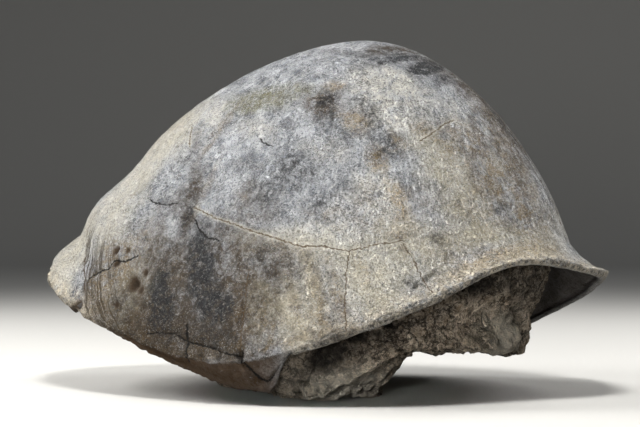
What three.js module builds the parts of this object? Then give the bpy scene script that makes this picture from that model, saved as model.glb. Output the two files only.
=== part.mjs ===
// Fossil shell of a giant tortoise: the bone carapace, and the hardened sand that fills it.
//
// Millimetres, +Z up. +X points to the tail end and -Y to the animal's left side. Directions round the
// shell are degrees from the tail end, so 90 is the right side, 180 the head end and 270 the left side.
// Up the dome, t runs from 0 at the rim to 1 at the crown. The origin is the middle of the shell's
// outline, on the surface that it rests on.

import * as THREE from 'three';

// ---- Driving sizes -------------------------------------------------------------------------------

const CROWN_X = 79; // the dome is highest behind its middle
const CROWN_Z = 551;
const DOME_CENTRE = new THREE.Vector3(0, 0, 100); // swellings push straight out from here
const PLAN_POWER = { middle: 1.86, tail: 0.04 }; // how full the dome is outwards, and fuller by this at
const RISE_POWER = { middle: 1.39, tail: 0.03 }; // the tail, and the same upwards; 2 would be round

const WALL = 17; // thickness of the dome's bone
const LIP = 9; // how far the round edge of an open end hangs below the rim
const EDGE = 16; // thickness of that edge
const LEDGE = 5; // step under the keel along each bridge
const BAND_INSET = 49; // how far the band below the keel turns in under the shell
const BAND_CURVE = 1.7; // over 1, the band turns in late
const BAND_WALL = { inwards: 9, upwards: 11 }; // from its outer face to its inner one
const EDGE_LIFT = 4; // how far the inner side of the round edge stands above its lowest line
const NOTCH = { open: 66, closed: 74 }; // degrees off the tail where the bridge begins
const BRIDGE_END = 140; // and where it has faded away towards the head

const COLUMNS = 96; // facets round the shell
const OUTER_ROWS = 15;
const ROW_CROWDING = 1.25; // over 1, the rows lie closer towards the rim
const UNDER_ROWS = 4;
const INNER_ROWS = [0, 0.05, 0.11, 0.16, 0.28, 0.44, 0.66];
const INNER_SIDE = 0.4; // where the inner face of the rim has its one middle row

const GAP = 3; // room between the bone and its filling
const FILL_TOP = 3; // the row of INNER_ROWS where the filling comes away from the bone
const BELLY_ROWS = 14;
const FULL_COVER = 0.3; // how much of a bridge hides the side of the filling
const BELLY = new THREE.Vector3(30, -20, 0); // middle of the flat that the shell rests on
const FOOT_EASE = 0.25; // share of the way in from the foot over which the belly's lumps set in

// The rim, every 20 degrees from the tail end. The dome's foot stands inside the rim by the flare, which
// fades out over a share of the dome's height. A curl over 1 sweeps out gently, and under 1 rolls out at
// once. low is the bottom of the band below the keel, along the bridges.
const RIM = [
  { reach: 478, height: 194, flare: 52, share: 0.16, curl: 1.4, low: 20 },
  { reach: 444, height: 172, flare: 45, share: 0.16, curl: 1.3, low: 20 },
  { reach: 424, height: 139, flare: 41, share: 0.18, curl: 1.5, low: 30 },
  { reach: 383, height: 89, flare: 29, share: 0.24, curl: 1.8, low: 40 },
  { reach: 356, height: 64, flare: 10, share: 0.2, curl: 1.8, low: 42 },
  { reach: 342, height: 72, flare: 4, share: 0.15, curl: 1.2, low: 56 },
  { reach: 358, height: 104, flare: 6, share: 0.15, curl: 1, low: 84 },
  { reach: 406, height: 141, flare: 20, share: 0.16, curl: 0.8, low: 116 },
  { reach: 448, height: 178, flare: 32, share: 0.17, curl: 0.7, low: 150 },
  { reach: 462, height: 202, flare: 35, share: 0.18, curl: 0.7, low: 170 },
  { reach: 448, height: 184, flare: 35, share: 0.18, curl: 0.7, low: 150 },
  { reach: 406, height: 141, flare: 21, share: 0.17, curl: 0.8, low: 116 },
  { reach: 358, height: 103, flare: 6, share: 0.15, curl: 1, low: 76 },
  { reach: 342, height: 71, flare: 4, share: 0.15, curl: 1.2, low: 40 },
  { reach: 356, height: 65, flare: 10, share: 0.2, curl: 1.8, low: 19 },
  { reach: 383, height: 97, flare: 29, share: 0.24, curl: 2, low: 20 },
  { reach: 424, height: 151, flare: 46, share: 0.24, curl: 2, low: 20 },
  { reach: 444, height: 211, flare: 54, share: 0.22, curl: 1.8, low: 20 },
];

// The filling's foot, every 20 degrees: its reach, its height, the share of the way out from the middle
// of the belly that lies flat, and the share over which the belly then climbs to the height of the foot.
const FILL = [
  { reach: 344, height: 66, flat: 0.22, climb: 0.2 },
  { reach: 325, height: 61, flat: 0.21, climb: 0.2 },
  { reach: 318, height: 58, flat: 0.22, climb: 0.2 },
  { reach: 306, height: 52, flat: 0.27, climb: 0.24 },
  { reach: 275, height: 50, flat: 0.4, climb: 0.4 },
  { reach: 275, height: 62, flat: 0.48, climb: 0.5 },
  { reach: 292, height: 84, flat: 0.46, climb: 0.5 },
  { reach: 320, height: 104, flat: 0.5, climb: 0.46 },
  { reach: 356, height: 112, flat: 0.5, climb: 0.46 },
  { reach: 366, height: 116, flat: 0.5, climb: 0.46 },
  { reach: 356, height: 116, flat: 0.46, climb: 0.46 },
  { reach: 320, height: 112, flat: 0.4, climb: 0.46 },
  { reach: 292, height: 96, flat: 0.36, climb: 0.46 },
  { reach: 272, height: 54, flat: 0.36, climb: 0.56 },
  { reach: 266, height: 24, flat: 0.5, climb: 0.5 },
  { reach: 304, height: 12, flat: 0.6, climb: 0.34 },
  { reach: 362, height: 80, flat: 0.56, climb: 0.32 },
  { reach: 372, height: 79, flat: 0.31, climb: 0.24 },
];

// Broad swellings and hollows of the dome: where they lie, how far they spread in degrees and in t, and
// how far they stand out.
const SWELLINGS = [
  { name: 'nuchal dent', at: 196, t: 0.4, wide: 26, tall: 0.07, rise: -6 },
  { name: 'nuchal lobe', at: 200, t: 0.27, wide: 26, tall: 0.08, rise: 9 },
  { name: 'collar groove', at: 221, t: 0.06, wide: 6, tall: 0.12, rise: -5 },
  { name: 'collar lobe', at: 204, t: 0.1, wide: 12, tall: 0.06, rise: 11 },
];

// Lumps, hollows and ledges of the exposed filling, as places round the shell and heights.
const LUMPS = [
  { name: 'undercut', at: 342, z: 112, wide: 12, tall: 30, rise: -26 },
  { name: 'tail lump', at: 352, z: 74, wide: 11, tall: 26, rise: 12 },
  { name: 'notch ledge', at: 312, z: 66, wide: 14, tall: 22, rise: 14 },
  { name: 'far hollow', at: 24, z: 130, wide: 14, tall: 32, rise: -12 },
  { name: 'head hollow', at: 186, z: 160, wide: 20, tall: 30, rise: -16 },
];
const LUMP_SIZE = 62; // spacing of the filling's smaller lumps
const LUMP_RISE = 9;
const SCATTER = { x: 127.1, y: 311.7, z: 74.7, gain: 43758.5453 }; // far-apart numbers that mix the noise

const BONE = { color: 0xb9b3a6, roughness: 0.82, metalness: 0 };
const HARD_SAND = { color: 0x8f8371, roughness: 0.93, metalness: 0 };

// ---- Curves and noise ----------------------------------------------------------------------------

// A closed smooth curve through evenly spaced stations.
function around(stations, key, degrees) {
  const count = stations.length;
  const place = (((degrees * count) / 360) % count + count) % count;
  const first = Math.floor(place);
  const u = place - first;
  const value = (n) => stations[(first + n + count) % count][key];
  const slopeIn = (value(1) - value(-1)) / 2;
  const slopeOut = (value(2) - value(0)) / 2;
  const u2 = u * u;
  const u3 = u2 * u;
  return (
    (2 * u3 - 3 * u2 + 1) * value(0) +
    (u3 - 2 * u2 + u) * slopeIn +
    (3 * u2 - 2 * u3) * value(1) +
    (u3 - u2) * slopeOut
  );
}

// Degrees between two directions, never more than 180.
function turn(from, to) {
  return Math.abs(THREE.MathUtils.euclideanModulo(to - from + 180, 360) - 180);
}

function bell(x) {
  return Math.exp(-x * x);
}

// 1 where the bone turns in under the shell, 0 round the open ends. It begins abruptly at the notch for
// the hind leg and fades towards the foreleg.
function bridge(degrees) {
  const side = turn(0, degrees);
  const fade = THREE.MathUtils.smoothstep(side, NOTCH.closed, BRIDGE_END);
  return THREE.MathUtils.smoothstep(side, NOTCH.open, NOTCH.closed) * (1 - fade);
}

// Smooth noise between -1 and 1, one lump per unit.
function noise(x, y, z) {
  const corner = (i, j, k) => {
    const wave = Math.sin(i * SCATTER.x + j * SCATTER.y + k * SCATTER.z) * SCATTER.gain;
    return wave - Math.floor(wave);
  };
  const [i, j, k] = [x, y, z].map(Math.floor);
  const [u, v, w] = [x - i, y - j, z - k].map((f) => f * f * (3 - 2 * f));
  const mix = THREE.MathUtils.lerp;
  const edge = (dj, dk) => mix(corner(i, j + dj, k + dk), corner(i + 1, j + dj, k + dk), u);
  return 2 * mix(mix(edge(0, 0), edge(1, 0), v), mix(edge(0, 1), edge(1, 1), v), w) - 1;
}

function polar(degrees, reach, z) {
  const angle = THREE.MathUtils.degToRad(degrees);
  return new THREE.Vector3(reach * Math.cos(angle), reach * Math.sin(angle), z);
}

// ---- Carapace ------------------------------------------------------------------------------------

// A point of the dome, this far inside its outer face.
function dome(degrees, t, inside) {
  const rim = (key) => around(RIM, key, degrees);
  const along = Math.cos(THREE.MathUtils.degToRad(degrees));
  const climb = (t * Math.PI) / 2;
  const plan = Math.cos(climb) ** (2 / (PLAN_POWER.middle + PLAN_POWER.tail * along));
  const rise = Math.sin(climb) ** (2 / (RISE_POWER.middle + RISE_POWER.tail * along));
  const flare = Math.max(0, 1 - t / rim('share')) ** rim('curl');
  const edge = inside * (EDGE / WALL);
  const foot = rim('reach') - rim('flare') - inside;
  const point = polar(
    degrees,
    foot * plan + (rim('flare') + inside - edge) * flare,
    rim('height') + (CROWN_Z - inside - rim('height')) * rise,
  );
  point.x += CROWN_X * (1 - plan);
  const out = point.clone().sub(DOME_CENTRE).normalize();
  return point.addScaledVector(out, swelling(degrees, t));
}

function swelling(degrees, t) {
  let rise = 0;
  for (const bump of SWELLINGS) {
    rise += bump.rise * bell(turn(bump.at, degrees) / bump.wide) * bell((t - bump.t) / bump.tall);
  }
  return rise;
}

// The outer face below the rim, u from 0 at the rim to 1 at its lowest point: a round edge at the open
// ends, and a band that turns in under the keel along the bridges.
function underside(degrees, u) {
  const band = bridge(degrees);
  const reach = around(RIM, 'reach', degrees);
  const height = around(RIM, 'height', degrees);
  const quarter = (u * Math.PI) / 2;
  const edgeInset = (EDGE / 2) * (1 - Math.cos(quarter));
  const ledge = LEDGE * Math.sin(Math.min(quarter * 4, Math.PI / 2));
  const bandInset = ledge + BAND_INSET * u ** BAND_CURVE;
  const drop = THREE.MathUtils.lerp(LIP, height - around(RIM, 'low', degrees), band);
  const inset = THREE.MathUtils.lerp(edgeInset, bandInset, band);
  return polar(degrees, reach - inset, height - drop * Math.sin(quarter));
}

// The inner face of the same edge or band, or a place this far inside it, u from 1 at its lowest point
// back to 0 at the dome.
function innerside(degrees, u, inside) {
  const band = bridge(degrees);
  const outer = underside(degrees, u);
  const edgeInset = (EDGE / 4) * (3 - u);
  const inset = inside + THREE.MathUtils.lerp(edgeInset, BAND_WALL.inwards, band);
  const lift = THREE.MathUtils.lerp(EDGE_LIFT, BAND_WALL.upwards, band);
  const reach = Math.hypot(outer.x, outer.y) - inset;
  return polar(degrees, reach, outer.z + lift + inside * band);
}

function ring(point) {
  return Array.from({ length: COLUMNS }, (_, column) => point((column * 360) / COLUMNS));
}

function carapaceRings() {
  const rings = [];
  for (let row = 1; row <= OUTER_ROWS; row += 1) {
    const t = (1 - row / OUTER_ROWS) ** ROW_CROWDING;
    rings.push(ring((degrees) => dome(degrees, t, 0)));
  }
  for (let row = 1; row <= UNDER_ROWS; row += 1) {
    rings.push(ring((degrees) => underside(degrees, row / UNDER_ROWS)));
  }
  rings.push(ring((degrees) => innerside(degrees, 1, 0)));
  rings.push(ring((degrees) => innerside(degrees, INNER_SIDE, 0)));
  for (const t of INNER_ROWS.slice(1)) {
    rings.push(ring((degrees) => dome(degrees, t, WALL)));
  }
  return rings;
}

// ---- Filling -------------------------------------------------------------------------------------

// How far the exposed filling stands out at a point, from its own lumps and from small ones.
function lumps(degrees, point) {
  let rise = LUMP_RISE * noise(...point.clone().divideScalar(LUMP_SIZE).toArray());
  for (const lump of LUMPS) {
    rise += lump.rise * bell(turn(lump.at, degrees) / lump.wide) * bell((point.z - lump.z) / lump.tall);
  }
  return rise;
}

// Rows of the bone's inner face below the place where the filling comes away, from the top down.
const LINING = [
  (degrees, inside) => dome(degrees, INNER_ROWS[2], WALL + inside),
  (degrees, inside) => dome(degrees, INNER_ROWS[1], WALL + inside),
  (degrees, inside) => innerside(degrees, INNER_SIDE, inside),
  (degrees, inside) => innerside(degrees, 1, inside),
];

function foot(degrees) {
  return polar(degrees, around(FILL, 'reach', degrees), around(FILL, 'height', degrees));
}

// The side of the filling, a row at a time. At the open ends it is a broken face that falls from the dome
// to the foot, and along the bridges it lies behind the bone.
function skirt(degrees, row) {
  const s = row / (LINING.length + 1);
  const top = dome(degrees, INNER_ROWS[FILL_TOP], WALL + GAP);
  const face = top.lerp(foot(degrees), s);
  face.add(polar(degrees, lumps(degrees, face) * Math.sqrt(Math.sin(s * Math.PI)), 0));
  const covered = THREE.MathUtils.smoothstep(bridge(degrees), 0, FULL_COVER);
  return face.lerp(LINING[row - 1](degrees, GAP), covered);
}

// The underside of the filling, q from 0 at its foot to 1 at the middle of the belly.
function belly(degrees, q) {
  const edge = foot(degrees);
  const point = edge.clone().lerp(BELLY, q);
  const flat = around(FILL, 'flat', degrees);
  const outward = THREE.MathUtils.clamp((1 - q - flat) / around(FILL, 'climb', degrees), 0, 1);
  point.z = edge.z * outward;
  const free = outward * Math.min(1, q / FOOT_EASE);
  const rough = noise(point.x / LUMP_SIZE, point.y / LUMP_SIZE, 0);
  point.z = Math.max(0, point.z + free * LUMP_RISE * rough);
  return point;
}

function fillingRings() {
  const rings = [];
  for (const t of INNER_ROWS.slice(FILL_TOP).reverse()) {
    rings.push(ring((degrees) => dome(degrees, t, WALL + GAP)));
  }
  for (let row = 1; row <= LINING.length; row += 1) {
    rings.push(ring((degrees) => skirt(degrees, row)));
  }
  for (let row = 0; row < BELLY_ROWS; row += 1) {
    rings.push(ring((degrees) => belly(degrees, row / BELLY_ROWS)));
  }
  return rings;
}

// ---- Bodies --------------------------------------------------------------------------------------

// Closes a body over rings of points that run from its first point to its last.
function skin(first, rings, last) {
  const points = [first, ...rings.flat(), last];
  const end = points.length - 1;
  const vertex = (row, column) => 1 + row * COLUMNS + (column % COLUMNS);
  const faces = [];
  for (let column = 0; column < COLUMNS; column += 1) {
    faces.push(0, vertex(0, column), vertex(0, column + 1));
    for (let row = 1; row < rings.length; row += 1) {
      const [above, aboveNext] = [vertex(row - 1, column), vertex(row - 1, column + 1)];
      const [below, belowNext] = [vertex(row, column), vertex(row, column + 1)];
      faces.push(above, below, aboveNext, aboveNext, below, belowNext);
    }
    faces.push(vertex(rings.length - 1, column), end, vertex(rings.length - 1, column + 1));
  }
  const geometry = new THREE.BufferGeometry();
  const positions = points.flatMap((point) => point.toArray());
  geometry.setAttribute('position', new THREE.Float32BufferAttribute(positions, 3));
  geometry.setIndex(faces);
  geometry.computeVertexNormals();
  return geometry;
}

function body(name, geometry, finish) {
  const mesh = new THREE.Mesh(geometry, new THREE.MeshStandardMaterial(finish));
  mesh.name = name;
  return mesh;
}

const bone = skin(dome(0, 1, 0), carapaceRings(), dome(0, 1, WALL));
const filling = skin(dome(0, 1, WALL + GAP), fillingRings(), BELLY);

const shell = new THREE.Group();
shell.add(body('carapace', bone, BONE), body('matrix', filling, HARD_SAND));

const outline = new THREE.Box3().setFromObject(shell);
const middle = outline.getCenter(new THREE.Vector3());
for (const mesh of shell.children) {
  mesh.geometry.translate(-middle.x, -middle.y, -outline.min.z);
}

export default shell;
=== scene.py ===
from math import radians

import bpy
import numpy as np
from bpy.props import FloatProperty, FloatVectorProperty, PointerProperty
from bpy.types import Operator, Panel, PropertyGroup
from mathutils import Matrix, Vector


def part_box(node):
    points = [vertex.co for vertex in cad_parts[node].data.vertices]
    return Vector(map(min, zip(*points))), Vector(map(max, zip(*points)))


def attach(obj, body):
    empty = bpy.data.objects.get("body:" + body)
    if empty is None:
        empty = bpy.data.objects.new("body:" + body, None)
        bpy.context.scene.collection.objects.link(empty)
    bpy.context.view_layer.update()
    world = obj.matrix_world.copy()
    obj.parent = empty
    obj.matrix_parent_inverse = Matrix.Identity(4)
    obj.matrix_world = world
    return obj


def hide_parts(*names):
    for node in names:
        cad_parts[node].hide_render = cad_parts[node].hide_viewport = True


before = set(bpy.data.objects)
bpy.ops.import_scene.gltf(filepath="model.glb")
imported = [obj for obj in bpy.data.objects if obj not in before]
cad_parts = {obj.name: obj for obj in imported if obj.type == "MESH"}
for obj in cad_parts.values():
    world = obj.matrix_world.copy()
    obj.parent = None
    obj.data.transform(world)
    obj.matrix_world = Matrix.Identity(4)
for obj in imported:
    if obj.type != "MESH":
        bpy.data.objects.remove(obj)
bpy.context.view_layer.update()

bl_info = {
    "name": "Fossil Tortoise Shell",
    "version": (1, 0, 0),
    "blender": (4, 5, 0),
    "location": "3D View > Sidebar > Fossil Shell",
    "description": "Builds the fossil shell of a giant tortoise and the hardened sand that fills it",
    "category": "Add Mesh",
}

# The shapes are worked out in millimetres, +X to the tail end, -Y to the animal's left side and +Z up.
# Directions are degrees from the tail end. Up the dome, t runs from 0 at the rim to 1 at the crown. A t
# below 0 lies under the rim, down to -1 at the lowest edge.
MM = 0.001

# ---- Sizes that the shell shares with its solids ----

CROWN_X, CROWN_Z = 79, 551  # the dome is highest behind its middle
DOME_CENTRE = np.array([0, 0, 100])  # swellings push straight out from here
PLAN_POWER = {"middle": 1.86, "tail": 0.04}  # how full the dome is outwards, and fuller by this at the tail
RISE_POWER = {"middle": 1.39, "tail": 0.03}  # the same upwards; 2 would be round
WALL, EDGE, LEDGE = 17, 16, 5  # bone of the dome and of its open ends, and the step under each keel
LIP, EDGE_LIFT = 9, 4  # the edge of an open end hangs below the rim, and its inner side stands above that
BAND_INSET, BAND_CURVE = 49, 1.7  # the band below the keel turns in this far, and over 1, late
BAND_WALL = {"inwards": 9, "upwards": 11}  # from its outer face to its inner one
NOTCH = {"open": 66, "closed": 74}  # degrees off the tail where the bridge begins
BRIDGE_END = 140  # and where it has faded away towards the head
INNER_SIDE = 0.4  # where the inner face of the rim has its middle row
GAP = 3  # room between the bone and its filling
ROW_CROWDING = 1.25  # over 1, the rows lie closer towards the rim
LINING_T = {"top": 0.16, "middle": 0.11, "foot": 0.05}  # rows of the bone behind the filling's side
FULL_COVER = 0.3  # how much of a bridge hides the side of the filling
BELLY = np.array([30, -20, 0])  # middle of the flat that the shell rests on
FOOT_EASE = 0.25  # share of the way in from the foot over which the belly's lumps set in
LUMP_SIZE, LUMP_RISE = 62, 9
SOLID_COLUMNS = 96  # facets round the solids

# Every 20 degrees from the tail end. The dome's foot stands inside the rim by the flare, which fades out
# over a share of the dome's height. low is the bottom of the band below the keel.
RIM = {
    "reach": (478, 444, 424, 383, 356, 342, 358, 406, 448, 462, 448, 406, 358, 342, 356, 383, 424, 444),
    "height": (194, 172, 139, 89, 64, 72, 104, 141, 178, 202, 184, 141, 103, 71, 65, 97, 151, 211),
    "flare": (52, 45, 41, 29, 10, 4, 6, 20, 32, 35, 35, 21, 6, 4, 10, 29, 46, 54),
    "share": (0.16, 0.16, 0.18, 0.24, 0.2, 0.15, 0.15, 0.16, 0.17, 0.18, 0.18, 0.17, 0.15, 0.15, 0.2, 0.24,
              0.24, 0.22),
    "curl": (1.4, 1.3, 1.5, 1.8, 1.8, 1.2, 1, 0.8, 0.7, 0.7, 0.7, 0.8, 1, 1.2, 1.8, 2, 2, 1.8),
    "low": (20, 20, 30, 40, 42, 56, 84, 116, 150, 170, 150, 116, 76, 40, 19, 20, 20, 20),
}
FILL = {
    "reach": (344, 325, 318, 306, 275, 275, 292, 320, 356, 366, 356, 320, 292, 272, 266, 304, 362, 372),
    "height": (66, 61, 58, 52, 50, 62, 84, 104, 112, 116, 116, 112, 96, 54, 24, 12, 80, 79),
    "flat": (0.22, 0.21, 0.22, 0.27, 0.4, 0.48, 0.46, 0.5, 0.5, 0.5, 0.46, 0.4, 0.36, 0.36, 0.5, 0.6, 0.56,
             0.31),
    "climb": (0.2, 0.2, 0.2, 0.24, 0.4, 0.5, 0.5, 0.46, 0.46, 0.46, 0.46, 0.46, 0.46, 0.56, 0.5, 0.34, 0.32,
              0.24),
}
# Swellings of the bone: (degrees, t, wide in degrees, tall in t, rise in mm)
SWELLINGS = {
    "nuchal dent": (196, 0.4, 26, 0.07, -6),
    "nuchal lobe": (200, 0.27, 26, 0.08, 9),
    "collar groove": (221, 0.06, 6, 0.12, -5),
    "collar lobe": (204, 0.1, 12, 0.06, 11),
}
# Lumps of the filling: (degrees, height in mm, wide in degrees, tall in mm, rise in mm)
LUMPS = {
    "undercut": (342, 112, 12, 30, -26),
    "tail lump": (352, 74, 11, 26, 12),
    "notch ledge": (312, 66, 14, 22, 14),
    "far hollow": (24, 130, 14, 32, -12),
    "head hollow": (186, 160, 20, 30, -16),
}

# ---- Fineness of the two surfaces ----

BONE_COLUMNS, OUTER_ROWS, UNDER_ROWS = 520, 150, 20
EDGE_ROWS = (1, 0.85, 0.7, 0.55, INNER_SIDE)  # u of the rows up the inside of the edge
INNER_ROWS = (0.05, 0.07, 0.09, 0.11, 0.135, 0.16, 0.28, 0.44, 0.66, 0.9)  # t of the rows of the inner face
FILL_COLUMNS, SKIRT_ROWS, BELLY_ROWS = 460, 56, 84
TOP_ROWS = (0.92, 0.8, 0.66, 0.55, 0.44, 0.36, 0.28, 0.22)  # t of the rows of the filling under the crown
BONE_CROWDED_AT, FILL_CROWDED_AT, CROWDING = 285, 310, 0.45  # columns lie closer where most breaks are

# ---- Marks of growth, breakage and burial ----

# Lines of the outer face: kind, width and depth in mm, then (degrees, t) along it. Lines of one kind keep
# well apart, because each kind is one distance field, which holds this far from the line in mm. Between two
# points a line is drawn in steps, and noise of a size in mm moves it by up to a wander in mm.
FIELD_REACH = 12
LINE_STEPS, WANDER_SIZE, LINE_WANDER = 12, 26, np.array([1.8, -1.2, 3])
LINES = {
    "costal seam": ("seam", 2.2, 1.6, (
        (253.5, 0.384), (258, 0.378), (266, 0.368), (274, 0.354), (281, 0.338), (288, 0.318), (293, 0.296),
        (299.5, 0.281), (306, 0.255), (311.5, 0.244), (317, 0.233), (319.5, 0.229))),
    "front costal seam": ("seam", 1.5, 1, ((225, 0.552), (234, 0.506))),
    "marginal seam at the notch": ("branch", 1.5, 1.1, (
        (306.5, 0.251), (305.5, 0.201), (305.5, 0.108), (305.5, 0.01))),
    "marginal seam behind it": ("branch", 1.2, 0.8, (
        (319, 0.223), (321, 0.159), (322, 0.093), (322.5, 0.04))),
    "marginal seam on the bridge": ("branch", 1.6, 1.4, (
        (279.5, 0.255), (280, 0.165), (280.5, 0.098), (280.8, 0.05))),
    "crack below the seam": ("crack", 2.6, 2.4, ((255.5, 0.36), (259, 0.34), (262.5, 0.33), (267, 0.326))),
    "crack on the shoulder": ("crack", 2, 2, ((232.5, 0.372), (235.5, 0.37), (240.5, 0.374), (245, 0.385))),
    "crack over the notch": ("seam", 1.2, 0.9, ((327.5, 0.462), (333.5, 0.474), (340.5, 0.496))),
    "crack under the olive smear": ("crack", 1.2, 1, ((266, 0.553), (269.5, 0.539), (275.5, 0.526))),
    "crack along the keel": ("crack", 2.4, 4, (
        (251, 0.062), (255, 0.084), (259.5, 0.092), (264.5, 0.082), (272, 0.068), (276.5, 0.05),
        (280.5, 0.034))),
    "crack up from the keel": ("split", 1.8, 1.4, (
        (263.5, 0.126), (264.5, 0.08), (265.3, 0), (265.5, -0.12))),
    "gape in the bridge": ("split", 4, 6, (
        (281, 0.05), (281.2, 0), (283.2, -0.24), (285.5, -0.5), (288.5, -0.66), (291, -0.78),
        (293.5, -0.84))),
    "ragged line of the shoulder": ("crack", 2, 2.6, (
        (223, 0.13), (226, 0.166), (230, 0.19), (231, 0.215), (235, 0.222), (239, 0.25))),
    "right costal seam": ("seam", 2.2, 1.6, (
        (152, 0.52), (142, 0.46), (130, 0.42), (120, 0.4), (112, 0.39), (104, 0.378), (96, 0.36),
        (86, 0.352), (79, 0.338), (71, 0.318), (65, 0.296), (58, 0.279), (52, 0.255), (44, 0.24),
        (38, 0.228))),
    "seam between two right costals": ("branch", 1.5, 1.1, (
        (71, 0.33), (76, 0.44), (80, 0.56), (90, 0.68), (104, 0.75))),
    "seam between the rear right costals": ("branch", 1.4, 1, (
        (44, 0.25), (40, 0.36), (36, 0.5), (38, 0.64))),
    "seam between the front right costals": ("branch", 1.4, 1, (
        (104, 0.39), (110, 0.5), (122, 0.62), (140, 0.72))),
    "right marginal seam at the notch": ("branch", 1.5, 1.1, (
        (57, 0.265), (56, 0.2), (55, 0.1), (55, 0.01))),
    "right marginal seam on the bridge": ("branch", 1.6, 1.4, (
        (81, 0.325), (80, 0.2), (79.5, 0.12), (79, 0.03))),
    "right marginal seam at the foreleg": ("branch", 1.5, 1.2, (
        (126, 0.36), (124, 0.22), (125, 0.1), (125, 0.02))),
    "crack up from the right keel": ("crack", 2, 2, ((98, 0.04), (96, 0.1), (99, 0.16), (97, 0.24))),
    "seam over the tail": ("branch", 1.3, 1, ((6, 0.02), (3, 0.14), (5, 0.26), (2, 0.36))),
    "edge of the collar": ("branch", 2, 3, (
        (213, 0.24), (214, 0.188), (220.5, 0.135), (224, 0.09), (227, 0.04))),
}
# Pits: (degrees, t, radius in mm, depth in mm)
PITS = (
    (201, 0.01, 14, 8), (224, 0, 16, 10), (230, 0.24, 8, 6), (232.5, 0.214, 8, 5), (235, 0.252, 5, 3),
    (238, 0.106, 6, 4), (241, 0.184, 14, 13), (244.5, 0.174, 8, 6), (244.5, 0.219, 7, 4),
)
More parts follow.
